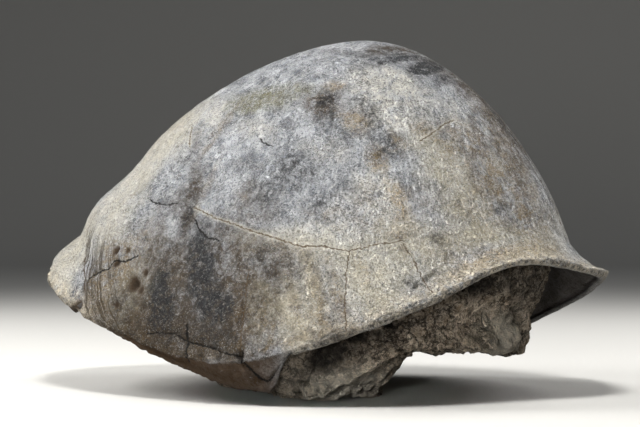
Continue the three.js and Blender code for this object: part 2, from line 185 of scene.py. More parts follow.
# Stains: (degrees, t, wide in mm, tall in mm, strength), and the lean in degrees of those that lean. Noise
# of a size in mm moves the edge of a stain by a share of its size, and it fades from a quarter of its size
# out to one and a half times it.
STAIN_WARP_SIZE, STAIN_WARP, STAIN_FADE = 46, 0.45, (0.25, 1.5)
STAINS = {
    "lime": (
        (30, 0.4, 60, 60, 0.4), (60, 0.2, 90, 60, 0.5), (78, 0.4, 50, 60, 0.7), (90, 0.5, 90, 60, 0.5),
        (96, 0.7, 70, 50, 0.7), (120, 0.6, 70, 60, 0.8), (120, 0.25, 70, 60, 0.5), (145, 0.62, 70, 60, 0.5),
        (152, 0.66, 60, 60, 0.7), (160, 0.4, 90, 60, 0.6), (203, 0.06, 90, 60, 1), (206, 0.2, 60, 70, 0.6),
        (208, 0.05, 60, 40, 0.95), (209, 0.13, 60, 70, 0.95), (211.5, 0.358, 60, 70, 0.9),
        (216, 0.46, 60, 60, 0.7), (219, 0.29, 60, 50, 0.8), (223, 0.56, 60, 50, 0.6),
        (228.5, 0.604, 50, 40, 0.6), (262, 0.252, 9, 18, 0.6), (262.5, 0.567, 50, 26, 0.6),
        (283, 0.31, 60, 26, 0.4), (293, 0.322, 50, 26, 0.6), (294.5, 0.175, 50, 50, 0.8),
        (297, 0.5, 40, 24, 0.5), (302, 0.177, 40, 50, 0.9), (302.5, 0.3, 40, 24, 0.6),
        (310, 0.33, 60, 40, 0.3), (312, 0.6, 30, 60, 0.4), (312, 0.17, 44, 40, 0.8),
        (313.5, 0.374, 34, 44, 0.7), (316, 0.7, 60, 34, 0.6), (318, 0.62, 60, 50, 0.4),
        (320, 0.54, 26, 30, 0.6), (321, 0.56, 50, 40, 0.5), (325, 0.665, 30, 20, 0.7),
        (327, 0.604, 40, 30, 0.8), (331, 0.2, 30, 24, 0.4), (337, 0.33, 20, 30, 0.5),
        (338, 0.53, 60, 50, 0.3), (340, 0.03, 80, 14, 0.6), (343, 0.5, 14, 40, 0.6),
        (348, 0.36, 16, 36, 0.5), (356, 0.3, 14, 40, 0.6), (358, 0.02, 60, 20, 0.8),
    ),
    "cream": (
        (10, 0.2, 90, 60, 0.5), (30, 0.5, 90, 90, 0.5), (60, 0.14, 100, 60, 0.6), (80, 0.55, 90, 70, 0.4),
        (100, 0.12, 80, 60, 0.6), (140, 0.3, 90, 90, 0.5), (175, 0.3, 90, 90, 0.5),
        (205.5, 0.464, 120, 120, 0.5), (206, 0.56, 90, 90, 0.45), (208, 0.15, 70, 90, 0.85),
        (214, 0.5, 60, 80, 0.35), (222.5, 0.326, 60, 80, 0.6), (241, 0.16, 60, 60, 0.4),
        (284.5, 0.17, 24, 56, 0.5), (285, 0.33, 90, 20, 0.35), (293, 0.135, 32, 56, 0.85),
        (298, 0.19, 14, 80, 0.6), (301.5, 0.267, 60, 30, 0.55), (311.5, 0.15, 46, 56, 0.95),
        (318, 0.24, 60, 40, 0.6), (322, 0.17, 50, 50, 0.6), (331.5, 0.39, 40, 90, 0.55),
        (334.5, 0.265, 50, 70, 0.5), (336.5, 0.142, 70, 24, 0.8), (350, 0.1, 70, 30, 0.6),
    ),
    # Grime: ground-in dirt. Its broad, soft patches from about 250 to 290 degrees, low on the left, also
    # paint the shade that falls there.
    "grime": (
        (2, 0.7, 60, 70, 0.7), (6, 0.5, 50, 150, 0.85), (50, 0.25, 120, 70, 0.5), (60, 0.45, 60, 60, 0.5),
        (82, 0.07, 120, 34, 0.7), (120, 0.2, 160, 90, 0.5), (135, 0.1, 140, 40, 0.6),
        (232.5, 0.537, 14, 30, 0.45), (238, 0.5, 14, 30, 0.45), (240, 0.36, 26, 40, 0.3),
        (240, 0.07, 70, 50, 0.6), (243.5, 0.47, 14, 30, 0.5), (244, 0.13, 60, 60, 0.5),
        (246, 0.39, 24, 30, 0.6), (248, 0.44, 16, 30, 0.7), (248, 0.25, 70, 50, 0.45),
        (248, 0.03, 60, 30, 0.8), (250, 0.27, 70, 60, 0.4), (250.5, 0.409, 18, 26, 0.9),
        (252, 0.36, 18, 26, 0.9), (256, 0.12, 80, 45, 0.9), (262, 0.03, 110, 14, 0.75),
        (266, 0.2, 125, 70, 0.95), (268, 0.33, 80, 45, 0.5), (269.5, 0.032, 26, 14, 0.9),
        (270.5, 0.265, 24, 34, 0.75), (275, 0.3, 120, 60, 0.35), (276, 0.4, 50, 40, 0.5),
        (276, 0.08, 30, 30, 0.6), (277, 0.12, 70, 45, 0.8), (280, 0.86, 90, 30, 0.3),
        (282.5, 0.115, 26, 22, 0.6), (286, 0.02, 60, 14, 0.6), (288, 0.24, 200, 80, 0.28),
        (288, 0.22, 50, 70, 0.45), (300, 0.04, 70, 14, 0.5), (340, 0.82, 70, 24, 0.45),
        (345, 0.84, 60, 26, 0.6), (357, 0.44, 34, 150, 0.5),
    ),
    "earth": (
        (20, 0.3, 120, 90, 0.4), (60, 0.2, 200, 90, 0.4), (110, 0.1, 220, 60, 0.6),
        (160, 0.14, 120, 60, 0.5), (230, 0.17, 60, 70, 0.7), (238, 0.22, 60, 80, 0.6),
        (240, 0.06, 90, 40, 0.7), (242, 0.56, 12, 70, 0.5), (248, 0.05, 70, 30, 0.6),
        (253, 0.2, 30, 60, 0.6), (254, 0.42, 10, 60, 0.4), (255, 0.09, 60, 30, 0.6),
        (262, 0.05, 110, 34, 0.9), (264, 0.07, 60, 24, 0.4), (272, 0.422, 12, 14, 0.5),
        (278, 0.2, 34, 70, 0.6), (280, 0.108, 30, 40, 0.7), (285, 0.3, 60, 20, 0.5),
        (287, 0.12, 14, 60, 0.7), (292, 0.2, 10, 60, 0.6), (296, 0.37, 40, 12, 0.15),
        (298, 0.1, 70, 40, 0.4), (299, 0.16, 14, 60, 0.7), (300, 0.34, 50, 20, 0.2),
        (300, 0.03, 90, 14, 0.7), (303.5, 0.16, 10, 60, 0.6), (309, 0.2, 12, 40, 0.5),
        (318, 0.3, 90, 50, 0.35), (331, 0.12, 50, 30, 0.4), (331.5, 0.475, 30, 24, 0.5),
        (338, 0.42, 40, 40, 0.3), (339.5, 0.34, 60, 80, 0.35), (340, 0.44, 30, 46, 0.5),
        (345, 0.246, 60, 70, 0.4), (353, 0.163, 50, 50, 0.5), (354, 0.42, 50, 150, 0.6),
    ),
    "olive": (
        (242, 0.627, 44, 22, 0.8, 10), (253.5, 0.647, 56, 26, 0.9, 10), (267, 0.675, 60, 20, 0.75, 10),
    ),
    "umber": (
        (66, 0.2, 50, 50, 0.6), (70, 0.5, 50, 60, 0.4, 20), (112, 0.22, 50, 60, 0.6),
        (130, 0.4, 60, 40, 0.4, -20), (150, 0.4, 40, 60, 0.5), (178, 0.2, 60, 50, 0.5),
        (228, 0.06, 60, 30, 0.4), (246, 0.03, 100, 30, 0.9), (252, 0.1, 50, 40, 0.5),
        (262, 0.04, 110, 22, 0.5), (265, 0.1, 100, 36, 0.7), (271.5, 0.1, 40, 12, 0.6),
        (272, 0.43, 26, 26, 0.5), (279, 0.1, 24, 50, 0.6), (281, 0.15, 10, 60, 0.5),
        (287, 0.65, 22, 20, 0.6), (289, 0.2, 10, 50, 0.5), (291, 0.63, 40, 44, 0.5),
        (292.5, 0.615, 26, 30, 0.75), (300.5, 0.14, 10, 60, 0.6), (302, 0.58, 16, 12, 0.5),
        (304, 0.1, 12, 30, 0.5), (318, 0.246, 30, 8, 0.5), (318.5, 0.2, 10, 24, 0.5),
        (333.5, 0.474, 30, 8, 0.3, -10), (335, 0.24, 16, 20, 0.4), (340, 0.3, 14, 40, 0.5),
        (346, 0.45, 14, 50, 0.5), (352, 0.3, 16, 60, 0.5),
    ),
    "ochre": (
        (40, 0.4, 30, 40, 0.4), (70, 0.62, 30, 24, 0.5), (90, 0.6, 30, 30, 0.4), (118, 0.36, 20, 24, 0.5),
        (140, 0.5, 30, 40, 0.5), (172, 0.55, 30, 30, 0.4), (228, 0.04, 50, 20, 0.2),
        (230, 0.13, 50, 60, 0.2), (295.5, 0.678, 22, 14, 0.5), (303, 0.57, 20, 12, 0.4),
        (307.5, 0.552, 20, 26, 0.55), (313.5, 0.44, 14, 26, 0.4), (314, 0.451, 18, 28, 0.65),
        (318, 0.354, 14, 26, 0.5), (319.5, 0.3, 14, 26, 0.5), (320.5, 0.47, 16, 26, 0.5),
        (325, 0.08, 30, 20, 0.25), (335, 0.045, 60, 18, 0.75), (343, 0.05, 90, 20, 0.85),
    ),
    "manganese": (
        (1.5, 0.517, 14, 60, 0.5), (30, 0.6, 60, 40, 0.5), (50, 0.42, 60, 60, 0.35),
        (80, 0.15, 50, 40, 0.5), (88, 0.24, 70, 36, 0.3), (100, 0.35, 50, 60, 0.5, 10),
        (104, 0.48, 90, 40, 0.35, 20), (126, 0.26, 70, 60, 0.4), (136, 0.74, 60, 34, 0.4),
        (150, 0.3, 40, 50, 0.5), (164, 0.3, 70, 50, 0.3), (185, 0.42, 50, 50, 0.3), (190, 0.7, 50, 30, 0.4),
        (240, 0.1, 30, 30, 0.4), (250.5, 0.203, 18, 34, 0.9), (252, 0.365, 12, 36, 0.5),
        (254, 0.152, 26, 28, 0.8), (259.5, 0.31, 18, 38, 0.8), (260, 0.105, 50, 26, 0.35),
        (262, 0.27, 15, 44, 0.9), (264, 0.485, 26, 20, 0.35), (265, 0.25, 20, 40, 1, -10),
        (269, 0.197, 19, 32, 1, -15), (273, 0.111, 46, 24, 0.35), (274, 0.179, 18, 28, 0.9, -20),
        (277.5, 0.085, 40, 18, 0.25), (278.5, 0.432, 40, 30, 0.45), (282, 0.29, 16, 26, 0.35),
        (288, 0.36, 20, 14, 0.3), (289, 0.468, 44, 30, 0.5), (293, 0.644, 18, 14, 0.45),
        (293.5, 0.61, 26, 44, 0.4), (297, 0.382, 26, 14, 0.5, 20), (299.5, 0.8, 60, 14, 0.35),
        (302, 0.52, 30, 20, 0.3), (302, 0.012, 30, 8, 0.5), (306, 0.395, 30, 16, 0.3),
        (307.5, 0.615, 18, 20, 0.4), (312, 0.56, 18, 26, 0.4, -20), (313, 0.01, 18, 6, 0.6),
        (316, 0.504, 30, 36, 0.45), (317, 0.451, 26, 24, 0.35), (318, 0.012, 22, 6, 0.7),
        (319, 0.112, 12, 8, 0.5, 20), (322.5, 0.097, 34, 5, 0.8, 25), (324, 0.006, 26, 6, 0.6),
        (327.5, 0.183, 16, 14, 0.5), (329.5, 0.314, 14, 14, 0.4), (330, 0.004, 20, 5, 0.5),
        (335.5, 0.76, 56, 16, 0.75, 10), (340, 0.4, 12, 20, 0.35), (344, 0.22, 24, 10, 0.4),
        (345, 0.703, 36, 16, 0.95, 15), (349, 0.647, 26, 14, 0.5), (350, 0.72, 36, 18, 0.8, 10),
        (350, 0.42, 12, 26, 0.4),
    ),
}

# The filling's broken face, in sizes in mm and shares of the clods' height. Folded noise gives round nodules
# and sharp clods, and has its middle at FOLD.
NODULES, CLODS, FOLD = (58, 1.82), ((33, 1.5), (17, 1), (9, 0.5)), 0.3
GRAVEL_SIZE, CLEFT_SIZE, CLEFT_WIDTH, CLEFT_DEPTH = 24, 60, 0.045, 1.4

# Other places round the shell: degrees, and how far each reaches to either side.
PLACES = {
    "left keel": (268, 24),
    "chipped shoulder": (252, 34),
    "leaning grooves": (238, 30),
    "paler end of the bridge": (297, 8),
    "pale lip of the tail": (338, 62),
    "pale lip of the head": (215, 40),
    # steers the painted shade under the rim edge
    "dark rim of the far side": (40, 40),
    "fibrous flank": (350, 50),
    # The two recesses steer the painted shade in the filling.
    "recess under the tail": (345, 16),
    "recess in the notch": (304, 8),
    # These two steer the painted light on the filling.
    "brightened foot": (308, 16),
    "brightened lump": (352, 8),
}
# The collar's edge: its direction at a height t, and how far it leans over, in degrees for the whole dome.
# Behind it, the grooves fade out over some degrees, and upwards over some t.
COLLAR_EDGE, COLLAR_EDGE_T, COLLAR_LEAN = 227, 0.047, 92
COLLAR_FADE, COLLAR_TOP = (12, 28), (0.2, 0.32)
GRAIN_REACH, GRAIN_STRETCH, FIBRE_STRETCH = 400, 60, 200  # in mm: bone grain runs long up the dome

# ---- Looks of the surfaces ----

# Patterns: size of the marks in mm, detail and roughness of the noise, and the levels at which a mark
# begins and is full. Specks, flakes and sand grains of under 1 mm are too fine to show, so they are drawn
# coarser: speckle and flakes 3 mm across, grains and grit 4 to 5 mm.
BONE_PATTERNS = {
    "marks": (12, 5, 0.82, 0.4, 0.6),
    "clouds": (46, 6, 0.66, 0.42, 0.6),
    "blotches": (24, 6, 0.76, 0.5, 0.62),
    "speckle": (2.7, 2, 0.85, 0.53, 0.63),
    "flakes": (3.1, 3, 0.85, 0.54, 0.64),
    "crazed": (30, 3, 0.6, 0.42, 0.56),
    "chalk": (12, 6, 0.8, 0.34, 0.58),
    "soil": (9, 5, 0.8, 0.15, 0.42),
    "flecks": (9, 4, 0.8, 0.48, 0.57),
}
DASHES, STRIAE = (6.5, 4, 0.78, 0.41, 0.59), (6, 4, 0.7, 0.48, 0.58)  # patterns that run along the grain
STRIAE_SQUEEZE = 0.22  # stretches the striae along the grain
SAND_PATTERNS = {
    "clods": (16, 8, 0.85, 0.4, 0.58),
    "grains": (4.2, 3, 0.85, 0.46, 0.58),
    "grit": (5, 3, 0.85, 0.54, 0.61),
    "creviced": (40, 3, 0.6, 0.38, 0.5),
    "chipped": (28, 3, 0.6, 0.46, 0.56),
}
# Fine curved lines: how far apart they lie in mm, and the width of noise that they take up.
HAIRLINES = {"veins": (34, 0.01), "crazing": (11, 0.026), "crevices": (24, 0.045), "chips": (10, 0.05)}
# Pigments, in the order in which they were laid down: size of their marks in mm, and the least and most
# that a mark thins or thickens them.
PIGMENTS = {
    "cream": (30, 0.6, 1.1),
    "lime": (20, 0.3, 1.9),
    "earth": (18, 0.3, 2),
    "umber": (16, 0.3, 2),
    "olive": (18, 0.5, 1.7),
    "ochre": (14, 0.4, 2),
}
# Dirt over the pigments; the grime also paints the shade over the lower left of the shell.
DIRT_AND_SHADE = {"grime": (15, 0.7, 1.8), "manganese": (10, 0.2, 2.8)}
CREAM_FILM = (22, 0.2, 1.9)  # a second, thin film over the dirt and the painted shade
# Kinds of line: half the width of its dark middle in mm, the level under which noise leaves gaps in it,
# what fills it, how far that covers the bone, and its depth in the bump.
LINE_LOOKS = {
    "seam": (1.9, 0.24, "#62513a", 0.9, -0.8),
    "branch": (1.6, 0.26, "#5c4a33", 0.85, -0.6),
    "crack": (2.3, 0.3, "#15110d", 0.95, -2.4),
    "split": (3.6, 0.2, "#0e0b08", 0.97, -2.4),
}
PALE_BORDER = (6, 0.3)  # of a seam, measured as the dark middle is
BONE_BUMP, SAND_BUMP = 3, 9  # in mm
INNER_SHADE = 0.85  # painted shade: how far the inner face of the bone is darkened

# ---- Stage ----

# The backdrop paper lies flat as far as its reach, then bends up on every side, all in metres. The gap
# keeps it clear of the flat that the shell rests on.
FLOOR_REACH, FLOOR_BEND, FLOOR_GAP = 8, 3, 0.0005
FLOOR_SIDES, FLOOR_RINGS = 72, 12
# Lamps: degrees round from the camera, degrees up, distance and size in metres, spread in degrees, and
# share of the power.
LAMPS = {
    "key_softbox": (-2, 54, 2.6, 0.5, 180, 0.96),
    "left_softbox": (-80, 34, 2.4, 1, 180, 0.56),
    "front_fill": (-8, 3, 3.6, 0.4, 40, 0.038),
    "left_rim_light": (-132, 36, 3, 1.6, 180, 0.6),
    "right_rim_light": (128, 34, 3, 1.6, 180, 0.6),
}
ROOM_COLOUR, ROOM_LIGHT = "#c9ccd0", 0.18

# ---- Curves and noise ----

SCATTER, GAIN = np.array([127.1, 311.7, 74.7]), 43758.5453  # far-apart numbers that mix the noise
# Each octave of rough noise is turned and moved against the last.
TILT, OCTAVE_STEP = np.array([[0.8, 0.36, -0.48], [0, 0.8, 0.6], [0.6, -0.48, 0.64]]), 31.7


def around(stations, degrees):
    """A closed smooth curve through evenly spaced stations."""
    value = np.array(stations, float)
    place = np.mod(np.asarray(degrees, float) * len(value) / 360, len(value))
    first = np.floor(place).astype(int)
    u = place - first
    before, start, end, after = (value[(first + n) % len(value)] for n in (-1, 0, 1, 2))
    slope_in, slope_out = (end - before) / 2, (after - start) / 2
    curve = (2 * u**3 - 3 * u**2 + 1) * start + (u**3 - 2 * u**2 + u) * slope_in
    return curve + (3 * u**2 - 2 * u**3) * end + (u**3 - u**2) * slope_out


def mix(a, b, share):
    return a + (b - a) * share


def smooth(x, low, high):
    """0 at low and 1 at high, with a gentle start and end."""
    u = np.clip((x - low) / (high - low), 0, 1)
    return u * u * (3 - 2 * u)


def turn(a, b):
    """Degrees between two directions, never more than 180."""
    return np.abs(np.mod(np.asarray(b) - a + 180, 360) - 180)


def bell(x):
    return np.exp(-x * x)


def near(place, degrees):
    """1 at a named place, less the further off to either side."""
    at, reach = PLACES[place]
    return bell(turn(at, degrees) / reach)


def bridge(degrees):
    """1 where the bone turns in under the shell, 0 round the open ends."""
    side = turn(0, degrees)
    fade = smooth(side, NOTCH["closed"], BRIDGE_END)
    return smooth(side, NOTCH["open"], NOTCH["closed"]) * (1 - fade)


def noise(points):
    """Smooth noise between -1 and 1, one lump per unit."""
    cell = np.floor(points)
    u = points - cell
    u = u * u * (3 - 2 * u)
    total = 0
    for corner in np.ndindex(2, 2, 2):
        wave = np.sin((cell + corner) @ SCATTER) * GAIN
        share = np.prod(np.where(corner, u, 1 - u), axis=-1)
        total = total + (wave - np.floor(wave)) * share
    return 2 * total - 1


def rough(points, size, octaves=3, keep=0.5):
    """Layered noise: lumps of this size in mm, then each half as large and keep times as strong."""
    total, weight = 0, 0
    for octave in range(octaves):
        points = points @ TILT + OCTAVE_STEP
        total = total + keep**octave * noise(points * 2**octave / size)
        weight += keep**octave
    return total / weight


def polar(degrees, reach, z):
    angle = np.radians(degrees)
    return np.stack(np.broadcast_arrays(reach * np.cos(angle), reach * np.sin(angle), z), -1)


# ---- Faces of the shell ----


def dome(degrees, t, inside=0):
    """A point of the dome, this far inside its outer face."""
    rim = {key: around(values, degrees) for key, values in RIM.items()}
    along = np.cos(np.radians(degrees))
    climb = t * np.pi / 2
    plan = np.cos(climb) ** (2 / (PLAN_POWER["middle"] + PLAN_POWER["tail"] * along))
    rise = np.sin(climb) ** (2 / (RISE_POWER["middle"] + RISE_POWER["tail"] * along))
    flare = np.maximum(0, 1 - t / rim["share"]) ** rim["curl"]
    edge = inside * EDGE / WALL
    foot = rim["reach"] - rim["flare"] - inside
    reach = foot * plan + (rim["flare"] + inside - edge) * flare
    point = polar(degrees, reach, rim["height"] + (CROWN_Z - inside - rim["height"]) * rise)
    point[..., 0] += CROWN_X * (1 - plan)
    out = point - DOME_CENTRE
    out /= np.linalg.norm(out, axis=-1, keepdims=True)
    swelling = 0
    for at, height, wide, tall, amount in SWELLINGS.values():
        swelling = swelling + amount * bell(turn(at, degrees) / wide) * bell((t - height) / tall)
    return point + out * np.asarray(swelling)[..., None]


def underside(degrees, u):
    """The outer face below the rim, u from 0 at the rim to 1 at its lowest edge."""
    band = bridge(degrees)
    height = around(RIM["height"], degrees)
    quarter = u * np.pi / 2
    edge_inset = EDGE / 2 * (1 - np.cos(quarter))
    band_inset = LEDGE * np.sin(np.minimum(quarter * 4, np.pi / 2)) + BAND_INSET * u**BAND_CURVE
    drop = mix(LIP, height - around(RIM["low"], degrees), band)
    reach = around(RIM["reach"], degrees) - mix(edge_inset, band_inset, band)
    return polar(degrees, reach, height - drop * np.sin(quarter))


def innerside(degrees, u, inside=0):
    """The inner face of the same edge or band, u from 1 at its lowest line back to 0 at the dome."""
    band = bridge(degrees)
    outer = underside(degrees, u)
    inset = inside + mix(EDGE / 4 * (3 - u), BAND_WALL["inwards"], band)
    lift = mix(EDGE_LIFT, BAND_WALL["upwards"], band)
    reach = np.hypot(outer[..., 0], outer[..., 1]) - inset
    return polar(degrees, reach, outer[..., 2] + lift + inside * band)


def outer_face(degrees, t):
    """A point of the outer face, over or under the rim."""
    above = dome(degrees, np.maximum(t, 0))
    below = underside(degrees, np.maximum(-t, 0))
    return np.where(np.asarray(t)[..., None] >= 0, above, below)


def normals(grid):
    down = np.gradient(grid, axis=0)
    sideways = np.roll(grid, -1, 1) - np.roll(grid, 1, 1)
    normal = np.cross(down, sideways)
    return normal / np.maximum(np.linalg.norm(normal, axis=-1, keepdims=True), 1e-9)


def carapace_grid(degrees):
    """Points of the bone in rows from the crown, over the rim and back to the crown's inner face, with
    the t of each row, and 1 for each row of the inner face."""
    outer_rows = (1 - np.arange(1, OUTER_ROWS + 1) / OUTER_ROWS) ** ROW_CROWDING
    rows = [(t, 0, dome(degrees, t)) for t in outer_rows]
    rows += [(-u, 0, underside(degrees, u)) for u in np.arange(1, UNDER_ROWS + 1) / UNDER_ROWS]
    rows += [(-u, 1, innerside(degrees, u)) for u in EDGE_ROWS]
    last, first = rows[-1][2], dome(degrees, LINING_T["foot"], WALL)
    rows += [(0, 1, mix(last, first, share)) for share in (0.33, 0.67)]
    rows += [(t, 1, dome(degrees, t, WALL)) for t in INNER_ROWS]
    t, inner = (np.array([row[n] for row in rows])[:, None] + 0 * degrees for n in (0, 1))
    return np.array([row[2] for row in rows]), t, inner


def filling_grid(degrees):
    """Points of the filling in rows from under the crown, down its side and in under the belly, with how
    bare of bone each one is."""
    foot = polar(degrees, around(FILL["reach"], degrees), around(FILL["height"], degrees))
    top = dome(degrees, LINING_T["top"], WALL + GAP)
    covered = smooth(bridge(degrees), 0, FULL_COVER)
    lining = np.array([top] + [dome(degrees, LINING_T[key], WALL + GAP) for key in ("middle", "foot")]
                      + [innerside(degrees, u, GAP) for u in (INNER_SIDE, 1)] + [foot])
    rows = [(dome(degrees, t, WALL + GAP), 0 * degrees) for t in TOP_ROWS]
    for s in np.arange(SKIRT_ROWS + 1) / SKIRT_ROWS:
        face = mix(top, foot, s)
        rise = LUMP_RISE * noise(face / LUMP_SIZE)
        for at, height, wide, tall, amount in LUMPS.values():
            rise = rise + amount * bell(turn(at, degrees) / wide) * bell((face[..., 2] - height) / tall)
        face = face + polar(degrees, rise * np.sqrt(np.sin(s * np.pi)), 0)
        place = min(s * 5, 4.999)
        behind = mix(lining[int(place)], lining[int(place) + 1], place % 1)
        rows.append((mix(face, behind, covered[:, None]), (1 - covered) * min(1, s * 6)))
    for q in np.arange(1, BELLY_ROWS) / BELLY_ROWS:
        point = mix(foot, BELLY, q)
        outward = np.clip((1 - q - around(FILL["flat"], degrees)) / around(FILL["climb"], degrees), 0, 1)
        flat = point * np.array([1, 1, 0])
        free = outward * min(1, q / FOOT_EASE)
        point[..., 2] = np.maximum(0, foot[..., 2] * outward + free * LUMP_RISE * noise(flat / LUMP_SIZE))
        rows.append((point, mix(1 - covered, 1, min(1, q * 12))))
    return np.array([row[0] for row in rows]), np.array([row[1] for row in rows])


# ---- Marks on the outer face ----


def line_field(points, normal, kind):
    """Signed distance in mm to the nearest line of a kind, how much of it is there, and how deep it cuts."""
    nearest = np.full(points.shape[:-1], 1e3)
    signed, present, depth = nearest.copy(), np.zeros_like(nearest), np.zeros_like(nearest)
    for line_kind, width, deep, places in LINES.values():
        if line_kind != kind:
            continue
        share = np.linspace(0, len(places) - 1, LINE_STEPS * (len(places) - 1) + 1)
        degrees, t = (np.interp(share, range(len(places)), values) for values in zip(*places))
        line = outer_face(degrees, t)
        line = line + rough(line, WANDER_SIZE)[:, None] * LINE_WANDER
        for start, end in zip(line[:-1], line[1:]):
            step = end - start
            along = (points - start) @ step / (step @ step)
            away = points - start - np.clip(along, 0, 1)[..., None] * step
            distance = np.linalg.norm(away, axis=-1)
            overshoot = np.linalg.norm(step) * np.maximum(np.maximum(-along, along - 1), 0)
            closer = distance < nearest
            nearest = np.where(closer, distance, nearest)
            side = np.sign(np.einsum("...i,...i", away, np.cross(step, normal)))
            signed = np.where(closer, side * distance, signed)
            here = (1 - smooth(distance, 0.7 * FIELD_REACH, FIELD_REACH)) * (1 - smooth(overshoot, 0, 5))
            present = np.where(closer, here, present)
            groove = deep * bell(distance / (1.6 * width + 1.5)) * here
            depth = np.where(closer, groove, depth)
    return np.clip(signed, -3 * FIELD_REACH, 3 * FIELD_REACH), present, depth


def stain_field(points, pigment):
    """How strongly a pigment stains each point, 0 to 1, in patches with ragged edges."""
    warp = STAIN_WARP * np.stack([rough(points + shift, STAIN_WARP_SIZE) for shift in (0, 190, 370)], -1)
    clear = np.ones(points.shape[:-1])
    for degrees, t, wide, tall, strength, *lean in STAINS[pigment]:
        centre = outer_face(np.float64(degrees), np.float64(t))
        across = outer_face(np.float64(degrees + 1), np.float64(t)) - centre
        up = outer_face(np.float64(degrees), np.float64(t + 0.01)) - centre
        across, up = across / np.linalg.norm(across), up / np.linalg.norm(up)
        turned = radians(sum(lean))  # 0 where no lean is given
        first = across * np.cos(turned) + up * np.sin(turned)
        second = up * np.cos(turned) - across * np.sin(turned)
        offset = points - centre + warp * min(wide, tall)
        apart = np.sqrt((offset @ first / wide) ** 2 + (offset @ second / tall) ** 2
                        + (offset @ np.cross(first, second) / (wide + tall)) ** 2)
        clear *= 1 - strength * (1 - smooth(apart, *STAIN_FADE))
    return 1 - clear


def collar(degrees, t):
    """1 on the grooved bone behind the flare of the head end, which begins at a sharp slanting edge."""
    edge = COLLAR_EDGE - COLLAR_LEAN * (t - COLLAR_EDGE_T)
    behind = smooth(degrees - edge, -1, 1) * (1 - smooth(degrees - edge, *COLLAR_FADE))
    return behind * (1 - smooth(t, *COLLAR_TOP))


def grain_direction(degrees, t):
    """The direction that the grooves of the bone keep to: they lean over along the edge of the collar."""
    return degrees + COLLAR_LEAN * t * near("leaning grooves", degrees)


def weathering(points, degrees, t, inner):
    """How far each point of the bone stands out or in, in mm: buckling, worn lumps and the torn edge."""
    outside = 1 - inner
    head = collar(degrees, t) * outside
    rim = bell(np.abs(t) / 0.05) * (1 - bridge(degrees))
    keel = near("left keel", degrees) * bell((t - 0.02) / 0.05) * outside
    band = smooth(-t, 0, 0.1) * bridge(degrees)
    shoulder = near("chipped shoulder", degrees) * (1 - smooth(t, 0.22, 0.42)) * outside
    spin = polar(grain_direction(degrees, t), GRAIN_REACH, GRAIN_STRETCH * t)
    # Each row: height in mm, where it lies, and noise of a size in mm.
    return sum(height * where * relief for height, where, relief in (
        (1.6, 1, rough(points, 130, 2)),  # buckling
        (1.1, 1 - 0.5 * inner, rough(points, 36, 4, 0.6)),  # worn lumps
        (1.3, outside, rough(points, 12, 2, 0.8)),
        (3.4, head, rough(spin, 13, 3, 0.6)),  # grooves of the collar
        (1.2, head, rough(points, 24, 3)),
        (4.2, shoulder, rough(points, 15, 3, 0.7)),  # chips
        (2, rim, 1),  # the thick, torn edge of the open ends
        (5, rim, rough(points, 22, 3, 0.6)),
        (4.5, rim, rough(points, 9, 3, 0.7)),
        (9, keel, rough(points, 20, 3, 0.6)),  # broken keel
        (6, band, rough(points, 20, 4, 0.7)),
    ))


def pitting(points):
    """How deep the pits cut in mm, and how far each point lies inside one, 0 to 1."""
    depth, pitted = np.zeros(points.shape[:-1]), np.zeros(points.shape[:-1])
    wobble = 0.3 * rough(points, 12, 2)[..., None]
    for at, height, radius, deep in PITS:
        away = points + radius * wobble - outer_face(np.float64(at), np.float64(height))
        bowl = bell(np.linalg.norm(away, axis=-1) / radius)
        depth += deep * bowl
        pitted = np.maximum(pitted, bowl)
    return depth, pitted


def bone_marks(degrees, t, inner, pitted):
    """Where dirt and wear show on the bone, and where painted shade darkens it, by the names that its
    material reads.
    """
    outside = 1 - inner
    open_end = (1 - smooth(bridge(degrees), 0, 0.3)) * outside
    # Soil on the band that turns under the keel, with painted shade where the band faces down; less towards
    # the end of the bridge at 297 degrees.
    below = smooth(-t, -0.01, 0.06) * outside * smooth(bridge(degrees), 0, 0.4)
    below *= 1 - 0.72 * near("paler end of the bridge", degrees)
    pale = near("pale lip of the tail", degrees) + near("pale lip of the head", degrees)
    # Painted shade under the rim edge of the open ends, most under the rim of the far side.
    edge = smooth(-t, 0.1, 0.7) * open_end
    shaded = edge * (0.1 + 0.35 * near("dark rim of the far side", degrees))
    flank = np.maximum(near("fibrous flank", degrees), 0.6 * collar(degrees, t))
    return {
        # soil and painted shade on the band under the keel, and soil in the pits
        "soil": np.clip(0.95 * below + 0.95 * smooth(pitted, 0.2, 0.7), 0, 1),
        "lip": pale * smooth(-t, -0.12, -0.02) * smooth(t, -1.3, -0.5) * open_end,
        "rim_edge": bell((t + 0.3) / 0.3) * open_end,
        # painted shade on the inner face, in the deepest parts of the pits and under the rim edge
        "inner": np.maximum(np.maximum(INNER_SHADE * inner, 0.95 * smooth(pitted, 0.5, 0.85)), shaded),
        "fibrous": flank * (1 - smooth(t, 0.45, 0.8)) * outside,
        "collar": collar(degrees, t) * outside,
    }


def crags(points, bare, height):
    """How far each point of the filling stands out or in, in mm: nodules, clods, gravel and clefts."""
    size, share = NODULES
    rise = share * (np.abs(noise(points @ TILT / size)) - FOLD)
    for size, share in CLODS:
        rise += share * (FOLD - np.abs(noise(points @ TILT / size + size)))
    cleft = bell(rough(points, CLEFT_SIZE) / CLEFT_WIDTH) * smooth(rough(points + 77, 70, 1), -0.3, 0.1)
    return height * bare * (rise + rough(points, GRAVEL_SIZE, 4, 0.65) - CLEFT_DEPTH * cleft)


